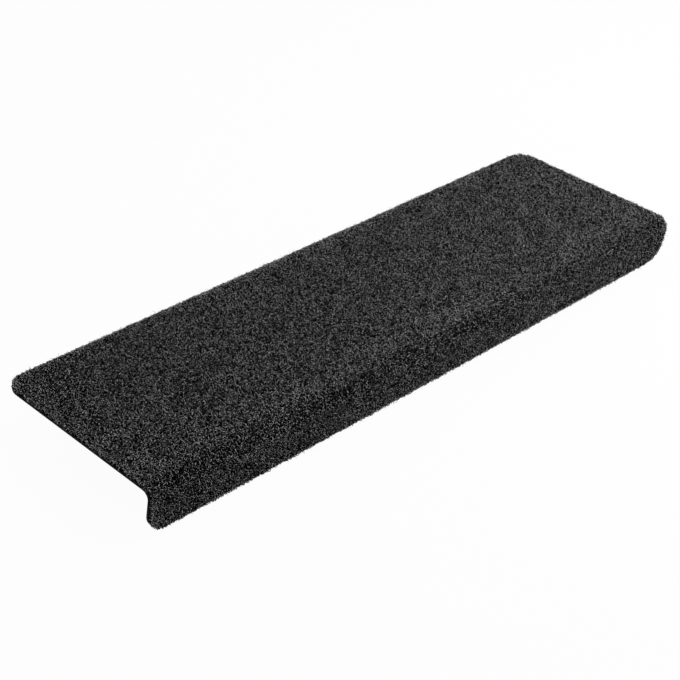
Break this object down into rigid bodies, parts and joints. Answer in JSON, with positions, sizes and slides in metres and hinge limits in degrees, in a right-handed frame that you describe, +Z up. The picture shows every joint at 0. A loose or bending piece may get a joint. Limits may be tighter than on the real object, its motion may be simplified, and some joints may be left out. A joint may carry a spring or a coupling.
{
  "type": "stair tread mat",
  "caption": "Charcoal carpet stair tread mat on a thin rubber backing, with rounded corners and a moulded lip that wraps over the front edge of a step.",
  "frame": {"origin": "on the flat underside of the tread, where it lies on the step, midway between the two ends and midway between the back edge and the front of the nosing", "axes": "+X along the step's width, the mat's long way; +Y from the nosing back towards the riser behind; +Z up, out of the step"},
  "size_m": [0.54, 0.16, 0.04],
  "materials": {
    "carpet": "needle-punched pile, charcoal with light and dark fibres",
    "rubber": "matte black rubber"
  },
  "bodies": {
    "root": {"carpet_pile": "carpet", "rubber_backing": "rubber"}
  },
  "joints": []
}
